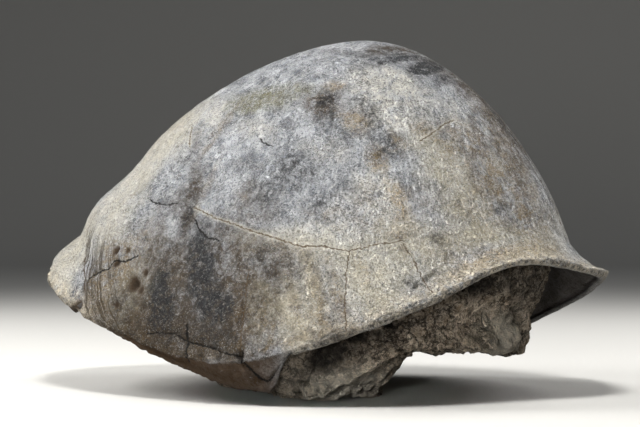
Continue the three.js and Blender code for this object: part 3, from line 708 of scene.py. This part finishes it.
def filling_marks(degrees, z, rise):
    """Painted shade on the filling close under the rim and painted light on its foot and on the lump under
    the tail, by the names that its material reads.
    """
    # Painted shade: the filling darkens close under the rim, most under the tail and in the notch, and less
    # on its raised lumps.
    drop = around(RIM["height"], degrees) - LIP - z
    deep = 0.42 + 0.54 * near("recess under the tail", degrees) + 0.3 * near("recess in the notch", degrees)
    # Painted light on the foot of the filling by the floor, and on the lump under the tail.
    foot = near("brightened foot", degrees) * (1 - smooth(z, 15, 80))
    lump = near("brightened lump", degrees) * (1 - smooth(z, 100, 150))
    return {
        "hollow": np.clip((1 - smooth(drop, 28, 64)) * deep - 0.04 * rise, 0, 0.95),
        "dusty": foot + 0.8 * lump,
    }


# ---- Meshes ----


def columns(count, crowded_at):
    """Directions of this many columns, closer together round one direction."""
    even = np.arange(count) * 360 / count
    return even - np.degrees(CROWDING) * np.sin(np.radians(even - crowded_at))


def frame_shift():
    """How far the solids' frame stands from the one that the tables are written in, in mm."""
    low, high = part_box("carapace")
    rim = outer_face(np.arange(SOLID_COLUMNS) * 360 / SOLID_COLUMNS, np.zeros(SOLID_COLUMNS))
    middle = (rim[:, 0].min() + rim[:, 0].max()) / 2
    return np.array([(low.x + high.x) / 2 / MM - middle, 0, 0])


def in_frame(points):
    """Points of the tables' frame, in mm, as metres in the solids' frame."""
    return (points + frame_shift()) * MM


def skin(name, material, first, grid, last=None):
    """A smooth piece over rows of points in metres, closed at its first point and, if given, at its last."""
    size = grid.shape[0] * grid.shape[1]
    index = 1 + np.arange(size).reshape(grid.shape[:2])
    beside = np.roll(index, -1, 1)
    points = [[first], grid.reshape(-1, 3)]
    faces = np.stack([index[:-1], index[1:], beside[1:], beside[:-1]], -1).reshape(-1, 4).tolist()
    faces += [(0, int(a), int(b)) for a, b in zip(index[0], beside[0])]
    if last is not None:
        points.append([last])
        faces += [(int(a), size + 1, int(b)) for a, b in zip(index[-1], beside[-1])]
    mesh = bpy.data.meshes.new(name)
    mesh.from_pydata(np.vstack(points).tolist(), [], faces)
    mesh.shade_smooth()
    mesh.materials.append(material)
    piece = bpy.data.objects.new(name, mesh)
    bpy.context.scene.collection.objects.link(piece)
    return piece


def tell(piece, name, values, last=0):
    """Keeps a number for each point of a mesh, which its material reads by name."""
    attribute = piece.data.attributes.new(name, "FLOAT", "POINT")
    attribute.data.foreach_set("value", np.concatenate([[0], values.ravel(), [last]]).astype(np.float32))


def tell_fibre(piece, degrees, t):
    """Keeps each point's place along the grain of the bone, in metres."""
    crown = np.array([[0, 0, FIBRE_STRETCH]])
    fibre = polar(grain_direction(degrees, t), GRAIN_REACH, FIBRE_STRETCH * t).reshape(-1, 3)
    attribute = piece.data.attributes.new("fibre", "FLOAT_VECTOR", "POINT")
    attribute.data.foreach_set("vector", (np.vstack([crown, fibre, crown]) * MM).astype(np.float32).ravel())


# ---- Materials ----


def linear(colour):
    """An sRGB hex colour as linear RGBA."""
    parts = [int(colour[n : n + 2], 16) / 255 for n in (1, 3, 5)]
    return (*(part / 12.92 if part <= 0.04045 else ((part + 0.055) / 1.055) ** 2.4 for part in parts), 1)


def per_metre(size):
    """The scale of a pattern whose marks are this many mm across."""
    return 1 / (size * MM)


def add(tree, kind, inputs=None, **settings):
    """Adds a node with its settings, and fills each input with a value or with another node's output."""
    node = tree.nodes.new(kind)
    for name, value in settings.items():
        setattr(node, name, value)
    for name, value in (inputs or {}).items():
        if isinstance(value, bpy.types.NodeSocket):
            tree.links.new(value, node.inputs[name])
        else:
            node.inputs[name].default_value = value
    return node


def pattern(tree, where, size, detail, roughness, low, high):
    """Marks of a size in mm: 0 where noise is under the low level, rising to 1 where it is over the high."""
    field = add(tree, "ShaderNodeTexNoise",
                {"Vector": where, "Scale": per_metre(size), "Detail": detail, "Roughness": roughness})
    ramp = add(tree, "ShaderNodeMapRange", {0: field.outputs["Fac"], 1: low, 2: high},
               interpolation_type="SMOOTHSTEP")
    return ramp.outputs[0]


def product(tree, *factors):
    """The product of numbers, other nodes' outputs and fields of the mesh, which are given by name."""
    result = None
    for factor in factors:
        if isinstance(factor, str):
            factor = add(tree, "ShaderNodeAttribute", attribute_name=factor).outputs["Fac"]
        if result is not None:
            factor = add(tree, "ShaderNodeMath", {0: result, 1: factor}, operation="MULTIPLY").outputs[0]
        result = factor
    return result


def patches_of(tree, where, pigment, size, least, most):
    """How strongly a pigment shows: its field, broken into marks of a size in mm that thin it to the least
    share or thicken it to the most. Less than 0.12 of it doesn't show, and it never covers more than 0.92."""
    marks = add(tree, "ShaderNodeTexNoise", {"Vector": where, "Scale": per_metre(size), "Detail": 7,
                                             "Roughness": 0.76, "Distortion": 0.6})
    marked = add(tree, "ShaderNodeMapRange", {0: marks.outputs["Fac"], 1: 0.38, 2: 0.62, 3: least, 4: most})
    field = product(tree, marked.outputs[0], pigment)
    return add(tree, "ShaderNodeMapRange", {0: field, 1: 0.12, 2: 1.3, 4: 0.92}).outputs[0]


def line_of(tree, where, kind, width, broken):
    """1 along the middle of a kind of line, with an edge that is ragged by up to 1.6 mm every 5 mm, and with
    gaps about 22 mm apart, where noise is under broken."""
    ragged = add(tree, "ShaderNodeTexNoise", {"Vector": where, "Scale": per_metre(5), "Detail": 3})
    wobble = add(tree, "ShaderNodeMapRange", {0: ragged.outputs["Fac"], 1: 0.3, 2: 0.7, 3: -1.6, 4: 1.6})
    distance = add(tree, "ShaderNodeMath", {0: product(tree, kind), 1: wobble.outputs[0]}, operation="ADD")
    apart = add(tree, "ShaderNodeMath", {0: distance.outputs[0]}, operation="ABSOLUTE")
    core = add(tree, "ShaderNodeMapRange", {0: apart.outputs[0], 1: width, 2: 0.2 * width},
               interpolation_type="SMOOTHSTEP")
    gaps = pattern(tree, where, 22, 3, 0.6, broken, broken + 0.14)
    return product(tree, core.outputs[0], kind + "_here", gaps)


def hairline(tree, where, size, width):
    """1 along fine curved lines that lie about a size in mm apart."""
    field = add(tree, "ShaderNodeTexNoise",
                {"Vector": where, "Scale": per_metre(size), "Detail": 5, "Roughness": 0.6})
    apart = add(tree, "ShaderNodeMath", {0: field.outputs["Fac"], 1: 0.5}, operation="SUBTRACT")
    apart = add(tree, "ShaderNodeMath", {0: apart.outputs[0]}, operation="ABSOLUTE")
    return add(tree, "ShaderNodeMapRange", {0: apart.outputs[0], 1: width, 2: 0}).outputs[0]


def coated(tree, colour, *coats):
    """A colour under coats, each of which covers it by the product of its shares."""
    for coat, *shares in coats:
        share = product(tree, *shares)
        colour = add(tree, "ShaderNodeMix", {0: share, 6: colour, 7: coat}, data_type="RGBA").outputs[2]
    return colour


def blank_material(name):
    """A new material with no nodes."""
    material = bpy.data.materials.new(name)
    material.use_nodes = True
    material.node_tree.nodes.clear()
    return material


def surface(tree, colour, height, reliefs, bump, roughness, specular):
    """Ends a material in a dull surface. Its relief is a height with a share of other parts added, all in
    units of a bump in mm."""
    for part, share in reliefs:
        raised = add(tree, "ShaderNodeMath", {0: part, 1: share, 2: height}, operation="MULTIPLY_ADD")
        height = raised.outputs[0]
    rough_face = add(tree, "ShaderNodeBump", {"Height": height, "Strength": 1, "Distance": bump * MM})
    shader = add(tree, "ShaderNodeBsdfPrincipled",
                 {"Base Color": colour, "Roughness": roughness, "IOR": 1.5, "Specular IOR Level": specular,
                  "Normal": rough_face.outputs[0]})
    add(tree, "ShaderNodeOutputMaterial", {0: shader.outputs[0]})


def bone_material(look):
    """Fossil bone, mineralised in the ground and worn bare by weather. It gives a dry, pale grey face with
    no shine, speckled with manganese and lime, with dirt left in the seams and cracks. Painted shade
    darkens its inner face, the bottoms of its pits, the band under its keel and its lower left."""
    material = blank_material("weathered fossil bone")
    tree = material.node_tree
    here = add(tree, "ShaderNodeTexCoord").outputs["Object"]
    fibre = add(tree, "ShaderNodeAttribute", attribute_name="fibre").outputs["Vector"]
    squeezed = add(tree, "ShaderNodeVectorMath", {0: fibre, 1: (1, 1, STRIAE_SQUEEZE)}, operation="MULTIPLY")
    seen = {name: pattern(tree, here, *numbers) for name, numbers in BONE_PATTERNS.items()}
    striae = product(tree, pattern(tree, squeezed.outputs[0], *STRIAE), "collar")
    veins = hairline(tree, here, *HAIRLINES["veins"])
    crazing = product(tree, hairline(tree, here, *HAIRLINES["crazing"]), seen["crazed"])
    lines = {kind: line_of(tree, here, kind, *numbers[:2]) for kind, numbers in LINE_LOOKS.items()}
    tone = add(tree, "ShaderNodeMix",
               {0: product(tree, "fibrous"), 2: seen["marks"], 3: pattern(tree, fibre, *DASHES)}).outputs[0]

    colour = coated(
        tree, tuple(look.bone),
        (tuple(look.worn), tone),
        (linear("#dadcdf"), seen["clouds"], 0.44),
        (linear("#5a5b5d"), seen["blotches"], 0.5),
        *((tuple(getattr(look, pigment)), patches_of(tree, here, pigment, *marks))
          for pigment, marks in PIGMENTS.items()),
        (linear("#eef0f2"), seen["flakes"], 0.6),
        (linear("#e6e3da"), veins, 0.4),
        (linear("#dbcfb9"), seen["chalk"], "lip"),
        # dirt, whose grime also paints shade over the lower left
        *((tuple(getattr(look, pigment)), patches_of(tree, here, pigment, *marks))
          for pigment, marks in DIRT_AND_SHADE.items()),
        (linear("#c9c7c1"), seen["flakes"], 0.28),
        (linear("#35363a"), seen["speckle"], 0.64),
        (linear("#3f3a32"), crazing, 0.65),
        (tuple(look.cream), patches_of(tree, here, "cream", *CREAM_FILM), 0.38),
        (linear("#42351f"), striae, 0.8),
        # soil and painted shade on the band under the keel, and soil in the pits
        (linear("#4c371f"), seen["soil"], "soil"),
        (linear("#262422"), seen["flecks"], "rim_edge", 0.75),
        # painted shade on the inner face, in the deepest pits and under the rim edge
        (linear("#3a2e20"), "inner"),
        (linear("#ddd8ca"), line_of(tree, here, "seam", *PALE_BORDER), 0.5),
        *((linear(filling), lines[kind], share) for kind, (_, _, filling, share, _) in LINE_LOOKS.items()),
    )
    reliefs = [(seen["clouds"], 0.5), (seen["speckle"], -2), (seen["flakes"], 1.8), (crazing, -1.2),
               (veins, 0.5), (striae, -3)]
    reliefs += [(lines[kind], numbers[-1]) for kind, numbers in LINE_LOOKS.items()]
    surface(tree, colour, tone, reliefs, bump=BONE_BUMP, roughness=0.84, specular=0.2)
    return material


def sand_material(look):
    """Sand and silt that hardened inside the shell, left rough where it broke. It gives a dull brown-grey,
    grainy face with pale grit and dark crevices, with painted shade in the recess under the rim and
    painted light on its foot."""
    material = blank_material("hardened sandy sediment")
    tree = material.node_tree
    here = add(tree, "ShaderNodeTexCoord").outputs["Object"]
    seen = {name: pattern(tree, here, *numbers) for name, numbers in SAND_PATTERNS.items()}
    crevices = product(tree, hairline(tree, here, *HAIRLINES["crevices"]), seen["creviced"])
    chips = product(tree, hairline(tree, here, *HAIRLINES["chips"]), seen["chipped"])
    colour = coated(
        tree, linear("#94816a"),
        (tuple(look.sand), seen["clods"]),
        (linear("#33291e"), seen["grains"], 0.5),
        (linear("#f0e2cc"), seen["grit"], 0.6),
        (linear("#1d1812"), crevices, 0.94),
        (linear("#1d1812"), chips, 0.85),
        # painted light on the foot and on the lump under the tail
        (linear("#f4ecda"), "dusty", 0.75),
        # painted shade in the recess under the rim
        (linear("#15110c"), "hollow"),
    )
    reliefs = [(seen["grains"], -0.9), (seen["grit"], 0.8), (crevices, -1.8), (chips, -1.2)]
    surface(tree, colour, seen["clods"], reliefs, bump=SAND_BUMP, roughness=0.93, specular=0.15)
    return material


def stage_material(name, colour):
    """Matt paper of a studio backdrop: one pale colour and no shine."""
    material = bpy.data.materials.new(name)
    material.use_nodes = True
    shader = material.node_tree.nodes["Principled BSDF"]
    shader.inputs["Base Color"].default_value = colour
    shader.inputs["Roughness"].default_value = 0.95
    return material


# ---- Settings ----


def colour_of(name, description, colour):
    """A colour setting, whose default is an sRGB hex colour."""
    return FloatVectorProperty(name=name, description=description, subtype="COLOR", size=4, min=0, max=1,
                               default=linear(colour))


class CarapaceSettings(PropertyGroup):
    """Size of the wear on the bone, and its colours."""

    wear: FloatProperty(name="Wear", default=1, min=0, max=2, subtype="FACTOR",
                        description="How far lumps and dents stand out, as a share of the real ones")
    break_depth: FloatProperty(name="Break depth", default=1, min=0, max=2, subtype="FACTOR",
                               description="How deep seams and cracks cut, as a share of the real ones")
    bone: colour_of("Bone", "Bone where it is neither stained nor worn", "#666a70")
    worn: colour_of("Worn bone", "Clouds of paler, worn bone", "#c9cacb")
    lime: colour_of("Lime", "Pale crust of lime", "#d9d5ca")
    cream: colour_of("Cream", "Yellowish film of lime and clay", "#d1c7ac")
    earth: colour_of("Earth", "Ground-in soil", "#8d7b5d")
    umber: colour_of("Umber", "Brown stain", "#5a4a36")
    olive: colour_of("Olive", "Green-brown smears", "#7f7b5c")
    ochre: colour_of("Ochre", "Iron stain", "#a08a63")
    # The grime also paints the shade over the lower left of the shell.
    grime: colour_of("Grime", "Dark ground-in dirt", "#41331f")
    manganese: colour_of("Manganese", "Blue-black manganese stain", "#1e2023")


class FillingSettings(PropertyGroup):
    """Roughness of the filling, and its colour."""

    clods: FloatProperty(name="Clods", description="How far the clods of the broken filling stand out",
                         default=0.006, min=0, max=0.012, unit="LENGTH")
    sand: colour_of("Hard sand", "Sediment where it is freshly broken", "#f2e0c8")


class StageSettings(PropertyGroup):
    """Camera, floor and light."""

    distance: FloatProperty(name="Camera distance", default=3.3, min=1, unit="LENGTH",
                            description="From the camera to the middle of the shell, level with it")
    eye: FloatProperty(name="Camera height", default=0.278, unit="LENGTH",
                       description="Height of the camera above the floor")
    turn: FloatProperty(name="Camera direction", default=radians(30), subtype="ANGLE",
                        description="How far the camera stands round from the shell's left side")
    lens: FloatProperty(name="Lens", default=116, min=10, unit="CAMERA",
                        description="Focal length of the camera")
    paper: colour_of("Paper", "Floor and backdrop", "#bdbbb6")
    light: FloatProperty(name="Light", default=92, min=0, unit="POWER",
                         description="Power that each lamp takes its share of")


# ---- Operators ----


class FOSSIL_OT_carapace(Operator):
    """Build the bone of the shell, with its seams, cracks, pits and stains"""

    bl_idname = "fossil.carapace"
    bl_label = "Carapace"

    def execute(self, context):
        look = context.scene.fossil_carapace
        directions = columns(BONE_COLUMNS, BONE_CROWDED_AT)
        grid, t, inner = carapace_grid(directions)
        degrees = np.broadcast_to(directions, t.shape)
        normal = normals(grid)
        outside = 1 - inner

        cut, pitted = pitting(grid)
        rise = look.wear * weathering(grid, degrees, t, inner) - cut * outside
        fields = {pigment: stain_field(grid, pigment) * outside for pigment in STAINS}
        for kind in LINE_LOOKS:
            fields[kind], here, depth = line_field(grid, normal, kind)
            fields[kind + "_here"] = here * outside
            rise -= look.break_depth * depth * outside

        piece = skin("fossil_bone_shell", bone_material(look), in_frame(dome(0.0, 1.0)),
                     in_frame(grid + normal * rise[..., None]), in_frame(dome(0.0, 1.0, WALL)))
        for name, values in fields.items():
            tell(piece, name, values)
        for name, values in bone_marks(degrees, t, inner, pitted * outside).items():
            tell(piece, name, values, last=INNER_SHADE if name == "inner" else 0)
        tell_fibre(piece, degrees, t)
        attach(piece, "root")
        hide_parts("carapace")
        return {"FINISHED"}


class FOSSIL_OT_filling(Operator):
    """Build the hardened sand that fills the shell, broken and lumpy where it is bare"""

    bl_idname = "fossil.filling"
    bl_label = "Filling"

    def execute(self, context):
        look = context.scene.fossil_filling
        degrees = columns(FILL_COLUMNS, FILL_CROWDED_AT)
        grid, bare = filling_grid(degrees)
        rise = crags(grid, bare, look.clods / MM)
        formed = grid + normals(grid) * rise[..., None]
        formed[..., 2] = np.maximum(formed[..., 2], 0)
        piece = skin("hard_sand_filling", sand_material(look), in_frame(dome(0.0, 1.0, WALL + GAP)),
                     in_frame(formed), in_frame(BELLY))
        for name, values in filling_marks(degrees, grid[..., 2], rise).items():
            tell(piece, name, values)
        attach(piece, "root")
        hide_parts("matrix")
        return {"FINISHED"}


class FOSSIL_OT_stage(Operator):
    """Set up the pale floor, the soft studio light and the camera"""

    bl_idname = "fossil.stage"
    bl_label = "Stage"

    def execute(self, context):
        look = context.scene.fossil_stage
        scene = context.scene
        scene.view_settings.view_transform = "Standard"
        aim = np.array([frame_shift()[0] * MM, 0, look.eye])
        back = np.array([np.sin(look.turn), -np.cos(look.turn), 0])

        bend = np.linspace(0, np.pi / 2, FLOOR_RINGS)[:, None]
        reach = FLOOR_REACH + FLOOR_BEND * np.sin(bend)
        height = FLOOR_BEND * (1 - np.cos(bend)) - FLOOR_GAP
        sheet = polar(np.arange(FLOOR_SIDES) * 360 / FLOOR_SIDES, reach, height)
        paper = stage_material("backdrop paper", tuple(look.paper))
        skin("paper_sweep", paper, (0, 0, -FLOOR_GAP), sheet)

        for name, (round_by, elevation, reach, size, spread, share) in LAMPS.items():
            lamp = bpy.data.lights.new(name, "AREA")
            lamp.shape, lamp.size, lamp.spread = "SQUARE", size, radians(spread)
            lamp.energy = look.light * share
            light = bpy.data.objects.new(name, lamp)
            yaw, pitch = look.turn + radians(round_by), radians(elevation)
            away = np.array([np.sin(yaw) * np.cos(pitch), -np.cos(yaw) * np.cos(pitch), np.sin(pitch)])
            light.location = aim + away * reach
            light.rotation_euler = (radians(90) - pitch, 0, yaw)
            scene.collection.objects.link(light)

        world = bpy.data.worlds.new("studio_room")
        world.use_nodes = True
        room = world.node_tree.nodes["Background"].inputs
        room["Color"].default_value = linear(ROOM_COLOUR)
        room["Strength"].default_value = ROOM_LIGHT
        scene.world = world

        camera = bpy.data.objects.new("camera", bpy.data.cameras.new("camera"))
        camera.data.lens = look.lens
        camera.location = aim + back * look.distance
        camera.rotation_euler = (radians(90), 0, look.turn)
        scene.collection.objects.link(camera)
        scene.camera = camera
        return {"FINISHED"}


class FOSSIL_PT_shell(Panel):
    """The pieces of the shell and its stage"""

    bl_idname = "FOSSIL_PT_shell"
    bl_label = "Fossil Shell"
    bl_space_type = "VIEW_3D"
    bl_region_type = "UI"
    bl_category = "Fossil Shell"

    def draw(self, context):
        for operator in (FOSSIL_OT_carapace, FOSSIL_OT_filling, FOSSIL_OT_stage):
            box = self.layout.box()
            box.operator(operator.bl_idname)
            group = getattr(context.scene, operator.bl_idname.replace(".", "_"))
            for name in group.__annotations__:
                box.prop(group, name)


GROUPS = {
    "fossil_carapace": CarapaceSettings,
    "fossil_filling": FillingSettings,
    "fossil_stage": StageSettings,
}
CLASSES = (*GROUPS.values(), FOSSIL_OT_carapace, FOSSIL_OT_filling, FOSSIL_OT_stage, FOSSIL_PT_shell)


def register():
    for one in CLASSES:
        bpy.utils.register_class(one)
    for name, group in GROUPS.items():
        setattr(bpy.types.Scene, name, PointerProperty(type=group))


def unregister():
    for name in GROUPS:
        delattr(bpy.types.Scene, name)
    for one in reversed(CLASSES):
        bpy.utils.unregister_class(one)


def main():
    register()
    bpy.ops.fossil.carapace()
    bpy.ops.fossil.filling()
    bpy.ops.fossil.stage()


if __name__ == "__main__":
    main()
